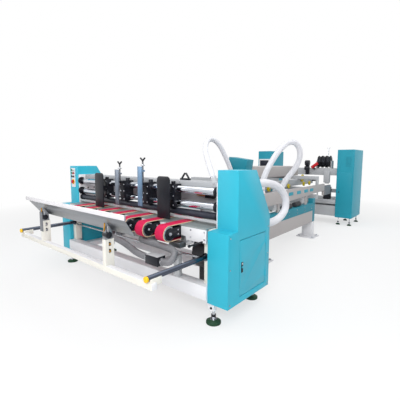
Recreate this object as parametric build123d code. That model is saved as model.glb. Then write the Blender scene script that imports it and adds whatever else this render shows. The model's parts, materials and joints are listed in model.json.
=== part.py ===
"""Box folding, stitching and gluing machine: feeder, folder and stitcher in one line.

Millimetres. X is across the machine (the operator's right, seen from the feeder, is +X),
Y runs with the board from the feeder to the stitcher, Z is up from the floor.
Every size below is measured from the front plane of the feeder's upper cabinets (Y 0);
the finished pieces are moved so that the machine's plan centre sits on the origin.
"""
import math
import os
from build123d import *

# ---- overall layout -------------------------------------------------------------
feed_inner_width = 2620.0        # clear width between the feeder's side cabinets
feed_cabinet_t = 234.0           # thickness of one feeder cabinet
feed_cabinet_h = 1450.0          # top of the feeder cabinets
feed_cabinet_z0 = 196.0          # underside of the cabinets
feed_cabinet_depth = 622.0       # bottom depth of the cabinets behind Y 0
feed_cabinet_top_depth = 322.0   # top depth
feed_step = 150.0                # lower box stands this far forward
feed_step_z = 888.0              # top of the lower box
feed_slope_z = 969.0             # where the rear slope ends
rail_reach = 846.0               # caps of the slide rails in front of Y 0
stitch_inner_width = 1742.0      # clear width between the stitcher cabinets
stitch_cabinet_t = 374.0
stitch_y0 = 5359.0               # front of the stitcher cabinets
stitch_depth = 829.0             # depth of the stitcher cabinets
stitch_z0 = 182.0
stitch_h = 1807.0

# ---- feeder frame ---------------------------------------------------------------
base_beam_w = 120.0
base_beam_z0 = 220.0
base_beam_z1 = 357.0
base_front_y = -170.0
base_rear_y = 620.0
side_beam_z1 = 285.0
side_plate_z0 = 640.0
side_plate_t = 20.0
side_plate_top = 1325.0
front_post_w = 80.0
front_post_y = (-100.0, -10.0)
rear_post_x = (1010.0, 1215.0)
rear_post_d = 100.0
tie_bar_r = 10.0
tie_bar_z = 592.0
foot_bracket_z0 = 122.0
foot_x = 1355.0
foot_ys = (-108.0, 590.0)
foot_pad_r = 72.0
foot_pad_h = 42.0
foot_stud_r = 15.0

# ---- feed table and belts -------------------------------------------------------
table_top = 905.0
table_t = 12.0
table_y0 = -150.0
table_y1 = 380.0
outfeed_y = (562.0, 600.0)
belt_pitch = 306.0
belt_count = 7
belt_w = 120.0
belt_shift = -20.0                # the row of belts stands this far to the left
belt_t = 10.0
pulley_r = 72.0
pulley_front_y = -300.0
pulley_rear_y = 470.0
pulley_z = table_top - pulley_r
cheek_t = 8.0
cheek_gap = 3.0
arm_w = 44.0
apron_t = 20.0
apron_z0 = 765.0

# ---- shafts across the feeder ---------------------------------------------------
shaft_r = 36.0
shaft_y = 40.0
shaft_zs = (1234.0, 1087.0)
roller_r = 36.0
roller_y = 60.0
roller_z = 990.0
top_beam_y = (110.0, 230.0)
top_beam_z = (1262.0, 1325.0)

# ---- side guides and front gates -------------------------------------------------
guide_plate_y = (-104.0, -92.0)
guide_plate_z = (922.0, 1372.0)
guide_plate_w = 190.0
guide_block_w = 114.0
guide_block_y = (-14.0, 94.0)
guide_block_z = (1034.0, 1288.0)
guide_lefts = {"left": -665.0, "right": 570.0}
guide_block_x = {"left": -640.0, "right": 630.0}
guide_travel = 110.0
bore_gap = 0.5
gate_w = 73.0
gate_y = (-122.0, -110.0)
gate_xs = {"left": -143.0, "right": 298.0}
gate_zs = {"left": (990.0, 1426.0), "right": (1020.0, 1470.0)}
gate_bracket_w = 96.0
gate_bracket_y = (-40.0, 94.0)
gate_rod_r = 9.0
gate_rod_y = -72.0
gate_travel = 45.0

# ---- slide rails and stacking tray ------------------------------------------------
rail_x = 1250.0
rail_z = 621.0
rail_r = 24.0
rail_front_y = -826.0
rail_flange_r = 38.0
limit_rod = (1245.0, 775.0)
limit_rod_y = -340.0
carriage_y = (-818.0, -765.0)
carriage_z = (535.0, 588.0)
carriage_half = 1296.0
tray_travel = 250.0
tray_post_x = 650.0
tray_post_w = 50.0
tray_post_y = (-818.0, -728.0)
tray_post_top = 830.0
tray_half = 1000.0
tray_low = (-742.0, 903.0)
tray_corner = 150.0              # the left lower corner of the sheet is cut off by this much
lip_over = 6.0
tray_high = (-844.0, 1052.0)
tray_t = 3.0

# ---- folder ------------------------------------------------------------------------
leg_size = (200.0, 130.0)
leg_x = 800.0
leg_ys = (1750.0, 3800.0)
base_plate = (350.0, 330.0, 20.0)
base_bolt_r = 11.0
base_bolt_inset = 40.0
fold_beam_x = (780.0, 900.0)
fold_beam_y = (620.0, 3750.0)
fold_beam_z = (320.0, 550.0)
teal_panel_top = 700.0
end_post_y = (3750.0, 3870.0)
end_post_top = 790.0
fold_plate_x = (880.0, 905.0)
fold_plate_y = (900.0, 4400.0)
fold_plate_rise = (2500.0, 60.0)  # the lower edge climbs this much from here to the end
fold_block_l = 450.0
fold_plate_z = (850.0, 1055.0)
fold_post_ys = (1080.0, 2240.0, 3440.0)
cross_beam_ys = (960.0, 2120.0, 3300.0, 4060.0)
cross_beam_d = 90.0
cross_beam_z = (752.0, 842.0)
track_x = 430.0
track_w = 60.0
track_start = 760.0
track_into_stitcher = 461.0
track_r = 44.0
track_z = 886.0
track_belt_t = 6.0

# ---- stitcher ----------------------------------------------------------------------
stitch_beam_w = 120.0
stitch_beam_in = (41.0, 48.0)    # distance of the beams from the front and the rear
stitch_beam_z = (200.0, 450.0)
stitch_bed_z = (495.0, 600.0)
stitch_top_in = (91.0, 421.0)    # the head beam, behind the front of the stitcher
stitch_top_z = (1190.0, 1360.0)
spool_r = 150.0
spool_w = 84.0
spool_xs = (420.0, 520.0, 620.0)
spool_in = 201.0
spool_z = 1522.0
spindle_r = 12.0

# ---- hoses -------------------------------------------------------------------------
feed_hose_d = 58.0
fold_hose_d = 88.0
loop_hose_d = 92.0
duct_hose_d = 70.0

stitch_y1 = stitch_y0 + stitch_depth
stitch_beam_ys = ((stitch_y0 + stitch_beam_in[0], stitch_y0 + stitch_beam_in[0] + stitch_beam_w),
                  (stitch_y1 - stitch_beam_in[1] - stitch_beam_w, stitch_y1 - stitch_beam_in[1]))
stitch_top_y = (stitch_y0 + stitch_top_in[0], stitch_y0 + stitch_top_in[1])
spool_y = stitch_y0 + spool_in
track_y = (track_start, stitch_y0 + track_into_stitcher)
table_under = table_top - table_t
inner_x = feed_inner_width / 2
outer_x = inner_x + feed_cabinet_t
stitch_in = stitch_inner_width / 2
stitch_out = stitch_in + stitch_cabinet_t
flow_middle = (stitch_y1 - rail_reach) / 2
plate_in = inner_x - side_plate_t

os.makedirs("parts", exist_ok=True)


def box(x0, x1, y0, y1, z0, z1):
    """A plain box between six planes."""
    body = Box(abs(x1 - x0), abs(y1 - y0), abs(z1 - z0))
    return Pos((x0 + x1) / 2, (y0 + y1) / 2, (z0 + z1) / 2) * body


def rod(axis, r, a, b, u, v):
    """A cylinder along one axis from a to b; u and v are its other two coordinates."""
    body = Cylinder(r, abs(b - a))
    mid = (a + b) / 2
    if axis == "x":
        return Pos(mid, u, v) * Rot(0, 90, 0) * body
    if axis == "y":
        return Pos(u, mid, v) * Rot(90, 0, 0) * body
    return Pos(u, v, mid) * body


def prism_x(points, x0, x1):
    """A polygon in the Y-Z plane drawn out along X."""
    plane = Plane(origin=(min(x0, x1), 0, 0), x_dir=(0, 1, 0), z_dir=(1, 0, 0))
    outline = make_face(Polyline(*[(y, z) for y, z in points], close=True))
    return extrude(plane * outline, amount=abs(x1 - x0))


def mirror_x(shape):
    """The same piece on the other side of the machine."""
    return mirror(shape, about=Plane.YZ)


def both(shape):
    """The piece and its mirror image."""
    return [shape, mirror_x(shape)]


def save(name, *shapes):
    """Write one node, centred on the machine's plan centre."""
    solids = []
    for shape in shapes:
        solids += list(shape.solids())
    moved = [Pos(0, -flow_middle, 0) * s for s in solids]
    whole = moved[0] if len(moved) == 1 else Compound(children=moved)
    export_step(whole, os.path.join("parts", name + ".step"))


def spigot(base, direction, r, length, lead=90.0):
    """A short hose stub on a point along a direction, with the hose's first two points."""
    unit = Vector(*direction).normalized()
    start = Vector(*base)
    plane = Plane(origin=start, z_dir=unit)
    stub = plane * Pos(0, 0, length / 2) * Cylinder(r, length)
    end = start + unit * (length + 0.3)
    after = end + unit * lead
    return stub, [(end.X, end.Y, end.Z), (after.X, after.Y, after.Z)]


def hose(points, diameter, name):
    """A round hose along straight runs joined by tangent arcs."""
    pts = [Vector(*p) for p in points]
    runs = [(b - a).length for a, b in zip(pts, pts[1:])]
    radii = []
    for i in range(1, len(pts) - 1):
        turn = (pts[i] - pts[i - 1]).get_angle(pts[i + 1] - pts[i])
        shorter = min(runs[i - 1], runs[i])
        radii.append(0.45 * shorter / math.tan(math.radians(turn) / 2))
    path = FilletPolyline(*pts, radius=radii)
    plane = Plane(origin=path @ 0, z_dir=path % 0)
    tube = sweep(plane * Circle(diameter / 2), path=path)
    area = math.pi * diameter ** 2 / 4
    print(name, "length", round(path.length), "runs", [round(r) for r in runs],
          "radii", [round(r) for r in radii], "fill", round(tube.volume / (area * path.length), 3))
    save(name, tube)


# ===== feeder frame =====
frame_in_y = (base_front_y + base_beam_w, base_rear_y - base_beam_w)
ring = box(-inner_x, inner_x, base_front_y, base_rear_y, base_beam_z0, base_beam_z1)
ring -= box(-inner_x + base_beam_w, inner_x - base_beam_w, *frame_in_y, 0, 500)
ring -= box(-inner_x, inner_x, *frame_in_y, side_beam_z1, 500)
save("feeder_base_frame", ring)

post = box(inner_x - front_post_w, inner_x, *front_post_y, base_beam_z1, table_under)
rear_post = box(*rear_post_x, base_rear_y - rear_post_d, base_rear_y, base_beam_z1, table_under)
tie_bar = rod("x", tie_bar_r, -inner_x + front_post_w, inner_x - front_post_w, front_post_y[0] + 15, tie_bar_z)
save("feeder_corner_posts", *both(post), *both(rear_post), tie_bar)


def levelling_foot(x, y, top, pad_r, pad_h, stud_r):
    """A round pad under a threaded stud."""
    pad = Pos(x, y, 0) * extrude(Circle(pad_r), amount=pad_h * 0.45)
    cone = Pos(x, y, pad_h * 0.725) * Cone(pad_r * 0.92, pad_r * 0.5, pad_h * 0.55)
    stud = rod("z", stud_r, pad_h - 1, top, x, y)
    nut = Pos(x, y, pad_h + 22) * extrude(RegularPolygon(stud_r * 1.7, 6), amount=22)
    return pad + cone + stud + nut


feet = []
for sx in (-1, 1):
    for fy in foot_ys:
        foot = levelling_foot(sx * foot_x, fy, feed_cabinet_z0, foot_pad_r, foot_pad_h, foot_stud_r)
        foot += box(sx * inner_x, sx * (foot_x + 18), fy - 26, fy + 26, foot_bracket_z0, feed_cabinet_z0)
        feet.append(foot)
    for fx in (stitch_in + 60, stitch_out - 60):
        for fy in (stitch_y0 + 90, stitch_y1 - 90):
            feet.append(levelling_foot(sx * fx, fy, stitch_z0, 48.0, 36.0, 12.0))
save("levelling_feet", *feet)

plate_profile = [(10, side_plate_z0), (600, side_plate_z0), (600, 940), (385, 1300), (385, side_plate_top),
                 (10, side_plate_top)]
save("feeder_side_plates", *both(prism_x(plate_profile, plate_in, inner_x)))

# ===== feeder cabinets and the right-hand door =====
cabinet_profile = [
    (-feed_step, feed_cabinet_z0),
    (feed_cabinet_depth, feed_cabinet_z0),
    (feed_cabinet_depth, feed_slope_z),
    (feed_cabinet_top_depth, feed_cabinet_h),
    (0, feed_cabinet_h),
    (0, feed_step_z),
    (-feed_step, feed_step_z),
]
door_y = (40.0, 537.0)
door_z = (262.0, 800.0)
door_gap = 6.0
door_t = 18.0
hinge_y = 544.0
hinge_r = 6.0
knuckle = 26.0
hinge_zs = (door_z[0] + 90, door_z[1] - 90)

save("left_side_cabinet", prism_x(cabinet_profile, -outer_x, -inner_x))

loop_hose_x = 1366.0
loop_hose_z = (feed_cabinet_h - 160.0, 805.0)
port_wall = 4.0
port_z = loop_hose_z[0] + loop_hose_d / 2 + port_wall
slope_run = (feed_cabinet_depth - feed_cabinet_top_depth) / (feed_cabinet_h - feed_slope_z)
port_root = feed_cabinet_depth - slope_run * (port_z - feed_slope_z) - 2
port_end = port_root + 64
cabinet = prism_x(cabinet_profile, inner_x, outer_x)
cabinet += rod("y", loop_hose_d / 2 + port_wall, port_root, port_end, loop_hose_x, loop_hose_z[0])
cabinet -= box(outer_x - door_t - door_gap, outer_x + 5, door_y[0] - door_gap, door_y[1] + door_gap,
               door_z[0] - door_gap, door_z[1] + door_gap)
cabinet -= box(inner_x + 40, outer_x, door_y[0] + 14, door_y[1] - 14, door_z[0] + 14, door_z[1] - 14)
for hz in hinge_zs:
    cabinet -= rod("z", hinge_r + 5, hz - knuckle / 2 - 0.4, hz + knuckle / 2 + 0.4, outer_x, hinge_y)
    for side in (-1, 1):
        a = hz + side * (knuckle / 2 + 0.4)
        cabinet += rod("z", hinge_r, a, a + side * knuckle, outer_x, hinge_y)
save("right_side_cabinet", cabinet)

door = box(outer_x - door_t, outer_x, *door_y, *door_z)
for hz in hinge_zs:
    door += rod("z", hinge_r, hz - knuckle / 2, hz + knuckle / 2, outer_x, hinge_y)
    door += box(outer_x - 6, outer_x, door_y[1] - 10, hinge_y, hz - knuckle / 2, hz + knuckle / 2)
latch = rod("x", 11, outer_x - 2, outer_x + 6, 82, 540)
door += latch
save("right_cabinet_door", door)

panel = box(-1492, -1382, -8, 0, 1131, 1418)
for i, pz in enumerate((1390, 1346, 1302, 1225, 1170)):
    panel += rod("y", 17 if i < 4 else 21, -30, -7, -1437, pz)
screen = box(-1211, -885, stitch_y0 - 24, stitch_y0, 1341, 1589)
screen -= box(-1180, -916, stitch_y0 - 30, stitch_y0 - 18, 1372, 1558)
save("operator_panels", panel, screen)

# ===== feed table, belts and arms =====
belt_xs = [belt_shift + (i - (belt_count - 1) / 2) * belt_pitch for i in range(belt_count)]
table = box(-plate_in, plate_in, table_y0, table_y1, table_under, table_top)
outfeed = box(-plate_in, plate_in, *outfeed_y, table_under, table_top)
save("feed_table", table, outfeed)

cheek_off = belt_w / 2 + cheek_gap
apron = []
edges = [-plate_in] + [x for bx in belt_xs for x in (bx - cheek_off - cheek_t - 3, bx + cheek_off + cheek_t + 3)]
edges += [plate_in]
for a, b in zip(edges[0::2], edges[1::2]):
    apron.append(box(a, b, table_y0, table_y0 + apron_t, apron_z0, table_under))
last_x = belt_xs[-1]
catch_z = (690.0, 742.0)
catch = box(last_x - 15, last_x + 140, table_y0 - 85, table_y0, *catch_z)
catch += box(last_x + 80, last_x + 140, table_y0 - 8, table_y0, catch_z[0], apron_z0 + 35)
save("table_apron", *apron, catch)


def loop_profile(y0, y1, z, r):
    """A slot shape in the Y-Z plane: two half circles and two straight runs."""
    core = box(-0.5, 0.5, y0, y1, z - r, z + r)
    return core + rod("x", r, -0.5, 0.5, y0, z) + rod("x", r, -0.5, 0.5, y1, z)


def belt_loop(x, w, y0, y1, z, r, t):
    """A closed flat belt round two pulleys."""
    outer = scale(loop_profile(y0, y1, z, r + t), by=(w, 1, 1))
    inner = scale(loop_profile(y0, y1, z, r), by=(w + 4, 1, 1))
    return Pos(x, 0, 0) * (outer - inner)


arms = []
pulleys = []
belts = []
for bx in belt_xs:
    arm = box(bx - arm_w / 2, bx + arm_w / 2, pulley_front_y + 92, pulley_rear_y - 92,
              pulley_z - 40, table_top - table_t)
    front = box(bx - arm_w / 2, bx + arm_w / 2, pulley_front_y + 92, table_y0,
                table_top - table_t, table_top - 2)
    arm += front
    for side in (-1, 1):
        xa = bx + side * cheek_off
        xb = xa + side * cheek_t
        cheek = box(xa, xb, pulley_front_y, table_y0 + 60, pulley_z - 44, pulley_z + 52)
        cheek += rod("x", 60, xa, xb, pulley_front_y, pulley_z)
        arms.append(cheek)
    arm_link = box(bx - cheek_off, bx + cheek_off, table_y0 + 25, table_y0 + 55, pulley_z - 30, pulley_z + 30)
    arm += arm_link
    arms.append(arm)
    for py in (pulley_front_y, pulley_rear_y):
        pulleys.append(rod("x", pulley_r - 0.4, bx - belt_w / 2 - 2.5, bx + belt_w / 2 + 2.5, py, pulley_z))
    belts.append(belt_loop(bx, belt_w, pulley_front_y, pulley_rear_y, pulley_z, pulley_r, belt_t))
merged = []
for i in range(belt_count):
    c1, c2, arm = arms[3 * i:3 * i + 3]
    merged.append(arm + c1 + c2)
save("belt_arms", *merged)
rear_shaft = rod("x", 18, -plate_in, plate_in, pulley_rear_y, pulley_z)
for p in pulleys[1::2]:
    rear_shaft += p
save("belt_pulleys", *pulleys[0::2], rear_shaft)
save("feed_belts", *belts)

# ===== shafts, rollers and beams across the feeder =====
save("cross_shafts", *[rod("x", shaft_r, -plate_in, plate_in, shaft_y, z) for z in shaft_zs])
save("feed_roller", rod("x", roller_r, -plate_in, plate_in, roller_y, roller_z))
back_panel = box(-plate_in, plate_in, 330, 342, 1040, 1262)
sheet_bar = box(-plate_in, plate_in, 11, 21, 930, 956)
save("rear_cross_panel", back_panel, sheet_bar)

stub1, feed_hose_start = spigot((1150, 172, top_beam_z[1] - 22), (-0.50, 0.16, 0.85), 33, 60, 130)
top_beam = box(-plate_in, plate_in, *top_beam_y, *top_beam_z) + stub1
save("top_cross_beam", top_beam)

motor = rod("x", 24, 800, 925, 306, 1165) + box(925, 1035, 282, 330, 1130, 1200)
save("feed_motor", motor)

handle = prism_x([(140, top_beam_z[1]), (170, top_beam_z[1]), (170, 1345), (140, 1345)], 680, 820)
arm1 = Pos(720, 155, 1372) * Rot(0, 38, 0) * Box(14, 18, 76)
arm2 = Pos(780, 155, 1372) * Rot(0, -38, 0) * Box(14, 18, 76)
save("beam_handle", handle + arm1 + arm2)

# ===== side guides: slide along the shafts =====
for side, left in guide_lefts.items():
    bx0 = guide_block_x[side]
    block = box(bx0, bx0 + guide_block_w, *guide_block_y, *guide_block_z)
    plate = box(left, left + guide_plate_w, *guide_plate_y, *guide_plate_z)
    corner_edges = [e for e in plate.edges().filter_by(Axis.Y) if e.center().Z > guide_plate_z[1] - 1]
    plate = fillet(corner_edges, 40)
    arm = box(bx0 + 20, bx0 + 94, guide_plate_y[1], guide_block_y[0], 1120, 1200)
    whole = plate + arm + block
    for z in shaft_zs:
        whole -= rod("x", shaft_r + bore_gap, bx0 - 5, bx0 + guide_block_w + 5, shaft_y, z)
    save(side + "_side_guide", whole)

# ===== front gates: lift on a threaded rod in a bracket =====
brackets = []
for side, gx in gate_xs.items():
    z0, z1 = gate_zs[side]
    half = gate_bracket_w / 2
    bracket = box(gx - half, gx + half, *gate_bracket_y, *guide_block_z)
    for z in shaft_zs:
        bracket -= rod("x", shaft_r + 0.3, gx - half - 5, gx + half + 5, shaft_y, z)
    bracket += box(gx - 26, gx + 26, gate_rod_y - 22, gate_bracket_y[0], 1262, 1286)
    bracket -= rod("z", gate_rod_r + bore_gap, 1200, 1320, gx, gate_rod_y)
    knob = rod("z", 26, guide_block_z[1], guide_block_z[1] + 30, gx + 14, 34)
    brackets.append(bracket + knob)
    gate = box(gx - gate_w / 2, gx + gate_w / 2, *gate_y, z0, z1)
    lug_z = z1 - 60
    gate += box(gx - 18, gx + 18, gate_y[1], gate_rod_y + 16, lug_z, lug_z + 20)
    gate += rod("z", gate_rod_r, 1200, z1 + 76, gx, gate_rod_y)
    gate += rod("z", 24, z1 + 8, z1 + 20, gx, gate_rod_y)
    for tilt in (-1, 1):
        wing = Pos(gx + tilt * 18, gate_rod_y, z1 + 80) * Rot(0, tilt * 52, 0) * Box(14, 14, 54)
        gate += wing
    save("front_gate_" + side, gate)
save("gate_brackets", *brackets)

# ===== suction ducts, manifold and blower under the table =====
duct_a = box(-240, -100, -120, 30, tie_bar_z + tie_bar_r + 10, table_under)
stub_a, hose_a_start = spigot((-170, -120, 655), (0, -1, 0), 38, 25)
duct_b = box(368, 506, -120, 30, 640, table_under)
stub_b, hose_b_start = spigot((437, -120, 690), (0, -1, 0), 38, 25)
save("suction_ducts", duct_a + stub_a, duct_b + stub_b)

manifold_x = (784.0, 960.0)
manifold_y = (-460.0, -355.0)
manifold_z = (548.0, 640.0)
hose_end_yz = (-408.0, 590.0)
manifold = box(*manifold_x, *manifold_y, *manifold_z)
bracket = box(880, 950, manifold_y[1], base_front_y + 20, 556, 586)
bracket += box(880, 950, base_front_y + 5, base_front_y + 55, base_beam_z1, 586)
save("hose_manifold", manifold + bracket)

drum = rod("x", 185, 965, 1145, 205, 570)
outlet = box(965, 1145, 205, 390, 570, 755)
foot = box(985, 1125, 120, 290, side_beam_z1 - 60, 430)
cap = rod("x", 95, 905, 965, 205, 570)
beam_pad = box(985, inner_x - base_beam_w, 120, 290, side_beam_z1 - 60, side_beam_z1)
save("suction_blower", drum + outlet + foot + cap + beam_pad)

# ===== slide rails and the stacking tray =====
rails = []
for sx in (-1, 1):
    tube = rod("y", rail_r, rail_front_y, front_post_y[0], sx * rail_x, rail_z)
    tube += rod("y", rail_flange_r, front_post_y[0] - 12, front_post_y[0], sx * rail_x, rail_z)
    rails.append(tube)
    limit = rod("y", 9, limit_rod_y, table_y0, sx * limit_rod[0], limit_rod[1])
    limit += rod("y", 14, limit_rod_y, limit_rod_y + 16, sx * limit_rod[0], limit_rod[1])
    rails.append(limit)
save("slide_rails", *rails)
caps = [rod("y", rail_r + 1, -rail_reach, rail_front_y, sx * rail_x, rail_z) for sx in (-1, 1)]
save("rail_end_caps", *caps)

carriage = box(-carriage_half, carriage_half, *carriage_y, *carriage_z)
for sx in (-1, 1):
    shoe = box(sx * (rail_x - 34), sx * (rail_x + 34), carriage_y[0], -700, carriage_z[1] - 28, rail_z)
    carriage += shoe
    upright = box(sx * tray_post_x - tray_post_w / 2, sx * tray_post_x + tray_post_w / 2, *tray_post_y,
                  carriage_z[0], tray_post_top)
    for z0 in (700, 765):
        upright -= box(sx * tray_post_x - 40, sx * tray_post_x + 40, -783, -763, z0, z0 + 40)
    carriage += upright
for sx in (-1, 1):
    carriage -= rod("y", rail_r + bore_gap, -900, -600, sx * rail_x, rail_z)
save("tray_carriage", carriage)

slope = math.hypot(tray_low[0] - tray_high[0], tray_low[1] - tray_high[1])
nx = (tray_high[1] - tray_low[1]) / slope
nz = (tray_low[0] - tray_high[0]) / slope
sheet_plane = Plane(origin=(0, *tray_low), x_dir=(1, 0, 0), z_dir=(0, nx, nz))
turned = 1 if sheet_plane.y_dir.Z > 0 else -1
outline = [(-tray_half + tray_corner, 0), (tray_half, 0), (tray_half, turned * slope),
           (-tray_half + tray_corner / 2, turned * slope)]
sheet = extrude(sheet_plane * make_face(Polyline(*outline, close=True)), amount=tray_t)
lip = box(-tray_half - lip_over, tray_half, tray_high[0] - 2, tray_high[0] + 14, tray_high[1] - 2, tray_high[1] + 41)
tray = sheet + lip
web_y = -800.0
web_z = tray_low[1] + (tray_low[0] - web_y) * (tray_high[1] - tray_low[1]) / (tray_low[0] - tray_high[0])
for sx in (-1, 1):
    web = prism_x([(-818, tray_post_top), (-735, tray_post_top), tray_low, (web_y, web_z)],
                  sx * tray_post_x - 22, sx * tray_post_x + 22)
    tray += web
save("stacking_tray", tray)

# ===== folder =====
plates = []
legs = []
for sx in (-1, 1):
    for ly in leg_ys:
        p = box(sx * leg_x - base_plate[0] / 2, sx * leg_x + base_plate[0] / 2,
                ly - base_plate[1] / 2, ly + base_plate[1] / 2, 0, base_plate[2])
        for bx in (-1, 1):
            for by in (-1, 1):
                hx = sx * leg_x + bx * (base_plate[0] / 2 - base_bolt_inset)
                hy = ly + by * (base_plate[1] / 2 - base_bolt_inset)
                p -= rod("z", base_bolt_r, -5, 40, hx, hy)
        plates.append(p)
        legs.append(box(sx * leg_x - leg_size[0] / 2, sx * leg_x + leg_size[0] / 2,
                        ly - leg_size[1] / 2, ly + leg_size[1] / 2, base_plate[2], fold_beam_z[0]))
save("folder_base_plates", *plates)
save("folder_legs", *legs)
save("folder_side_beams", *both(box(*fold_beam_x, *fold_beam_y, *fold_beam_z)))

teal = box(*fold_beam_x, fold_beam_y[0] + 20, fold_beam_y[1], fold_beam_z[1], teal_panel_top)
teal += box(800, 900, *end_post_y, fold_beam_z[0], end_post_top)
save("folder_side_panels", *both(teal))

guard = prism_x([(fold_plate_y[0], fold_plate_z[0]), (fold_plate_rise[0], fold_plate_z[0]),
                 (fold_plate_y[1], fold_plate_z[0] + fold_plate_rise[1]), (fold_plate_y[1], fold_plate_z[1]),
                 (fold_plate_y[0], fold_plate_z[1])], *fold_plate_x)
guard += box(fold_plate_x[0] - 30, fold_plate_x[1] - 5, fold_plate_y[1], fold_plate_y[1] + fold_block_l, 800, 1005)
for py in fold_post_ys:
    guard += box(845, fold_plate_x[0], py - 35, py + 35, teal_panel_top, 1000)
save("folder_side_plates", *both(guard))

cross = []
for cy in cross_beam_ys:
    cross.append(box(-fold_plate_x[0], fold_plate_x[0], cy - cross_beam_d / 2, cy + cross_beam_d / 2,
                     *cross_beam_z))
hangers = []
for c, cy in zip(cross, cross_beam_ys):
    ends = c
    for sx in (-1, 1):
        ends += box(sx * 868, sx * fold_plate_x[0], cy - 30, cy + 30, cross_beam_z[0], 940)
    hangers.append(ends)
save("folder_cross_beams", *hangers)

tracks = []
track_belts = []
for sx in (-1, 1):
    x = sx * track_x
    t = box(x - track_w / 2, x + track_w / 2, track_y[0] + 70, track_y[1] - 70, cross_beam_z[1], track_z + 38)
    t += box(x - track_w / 2 - 8, x + track_w / 2 + 8, track_y[0] + 70, track_y[1] - 70, cross_beam_z[1], 850)
    tracks.append(t)
save("lower_track_beams", *tracks)
belt_rows = []
for sx in (-1, 1):
    x = sx * track_x
    top = box(x - 40, x + 40, track_y[0], track_y[1], track_z + 38, track_z + 38 + track_belt_t)
    belt_rows.append(top)
save("transport_belts", *belt_rows)

uppers = []
for sx in (-1, 1):
    x = sx * track_x
    uppers.append(box(x - 45, x + 45, 1500, 4900, 1020, 1150))
bridge_beams = []
for cy in (2120, 4060):
    bridge_beams.append(box(-fold_plate_x[0], fold_plate_x[0], cy - 40, cy + 40, 1150, 1222))
    for sx in (-1, 1):
        bridge_beams.append(box(sx * 840, sx * fold_plate_x[0], cy - 40, cy + 40, 1000, 1150))
upper = uppers[0]
for s in uppers[1:] + bridge_beams:
    upper += s
save("upper_press_beams", upper)

wheels = []
for sx in (-1, 1):
    x = sx * track_x
    for wy in (1640, 1880, 2360, 2640, 2900, 3500, 4300, 4640):
        wheels.append(rod("x", 45, x + sx * 45, x + sx * 75, wy, 1032))
press_side = track_x + 45
dial = rod("x", 80, press_side, press_side + 22, 4215, 1165)
turret = (press_side + 65, 4847.0)
turret_top = 1152.0
disc = rod("z", 84, turret_top, turret_top + 14, *turret)
save("pressure_wheels", *wheels, dial, disc)

hood = box(-350, 350, 2900, 4300, 1222, 1425)
save("folder_hood", hood)

motors = []
for sx in (-1, 1):
    for y0, y1 in ((2480, 2800), (2960, 3200)):
        motors.append(rod("y", 44, y0, y1, sx * 835, teal_panel_top + 44))
drum = rod("z", 56, turret_top - 78, turret_top, *turret)
drum += box(press_side, turret[0], turret[1] - 20, turret[1] + 20, turret_top - 60, turret_top - 20)
save("folder_motors", *motors, drum)

port_r = fold_hose_d / 2 + 3
ports = []
stub_c, fold_hose_start = spigot((830, 1760, 1045), (0, 0, 1), port_r, 45, 140)
ports.append(box(785, fold_plate_x[0], 1700, 1820, 985, 1055) + stub_c)
stub_d, fold_hose_end = spigot((815, 2420, 1035), (0.40, 0.0, 0.92), port_r, 62, 150)
ports.append(box(785, fold_plate_x[0], 2360, 2480, 985, 1055) + stub_d)
stub_e, feed_hose_end = spigot((835, 985, 1045), (0, 0, 1), 32, 40, 120)
ports.append(box(785, fold_plate_x[0], 925, 1040, 985, 1055) + stub_e)
save("hose_ports", *ports)

console = Pos(830, 1150, 1492) * Rot(0, 8, 0) * Box(280, 170, 158)
console += box(906, 946, 1130, 1170, 1055, 1450) + box(fold_plate_x[1], 946, 1110, 1190, 900, 1055)
save("console_box", console)

# ===== stitcher =====
tower = box(stitch_in, stitch_out, stitch_y0, stitch_y1, stitch_z0, stitch_h)
save("stitcher_cabinets", *both(tower))
beams = [box(-stitch_in, stitch_in, y0, y1, *stitch_beam_z) for y0, y1 in stitch_beam_ys]
bed = box(-stitch_in, stitch_in, stitch_y0 + 20, stitch_y1 - 48, *stitch_bed_z)
top = box(-stitch_in, stitch_in, *stitch_top_y, *stitch_top_z)
infeed = box(-stitch_in, stitch_in, track_y[1] - 180, track_y[1] - 100, *cross_beam_z)
save("stitcher_cross_beams", *beams, bed, top, infeed)

front_y = stitch_top_y[0]
head = box(560, 700, front_y - 65, front_y, 1010, 1300)
head += box(590, 670, front_y - 50, front_y + 30, 985, stitch_top_z[0])
column = box(105, 185, front_y - 70, front_y, 1195, 1500) + rod("x", 68, 96, 194, front_y - 55, 1490)
column += rod("x", 50, 90, 200, front_y - 70, 1360)
save("stitch_head", head, column)

anvil = box(560, 700, front_y - 30, front_y + 150, stitch_bed_z[1], 900)
save("stitch_anvil", anvil)

stand = box(340, 360, spool_y - 80, spool_y + 80, stitch_top_z[1], spool_z + 24)
stand += box(690, 710, spool_y - 80, spool_y + 80, stitch_top_z[1], spool_z + 24)
stand += rod("x", spindle_r, 350, 700, spool_y, spool_z)
save("spool_stand", stand)
for i, sx in enumerate(spool_xs):
    spool = rod("x", spool_r, sx - spool_w / 2, sx - spool_w / 2 + 8, spool_y, spool_z)
    spool += rod("x", spool_r, sx + spool_w / 2 - 8, sx + spool_w / 2, spool_y, spool_z)
    spool += rod("x", spool_r - 22, sx - spool_w / 2, sx + spool_w / 2, spool_y, spool_z)
    spool -= rod("x", spindle_r + 0.8, sx - 60, sx + 60, spool_y, spool_z)
    save("wire_spool_%d" % (i + 1), spool)

mast_y = stitch_top_y[1] - 35
mast = rod("z", 8, stitch_top_z[1], 1866, 545, mast_y) + box(500, 590, mast_y - 7, mast_y + 7, 1860, 1872)
save("wire_mast", mast)
drive = Pos(345, front_y - 80, 1432) * Rot(0, 52, 0) * Cylinder(40, 190)
drive += box(310, 336, front_y - 92, front_y - 68, stitch_top_z[1] - 30, 1420)
drive += box(310, 336, front_y - 92, front_y, stitch_top_z[1] - 30, stitch_top_z[1])
save("stitch_drive", drive)

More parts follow.
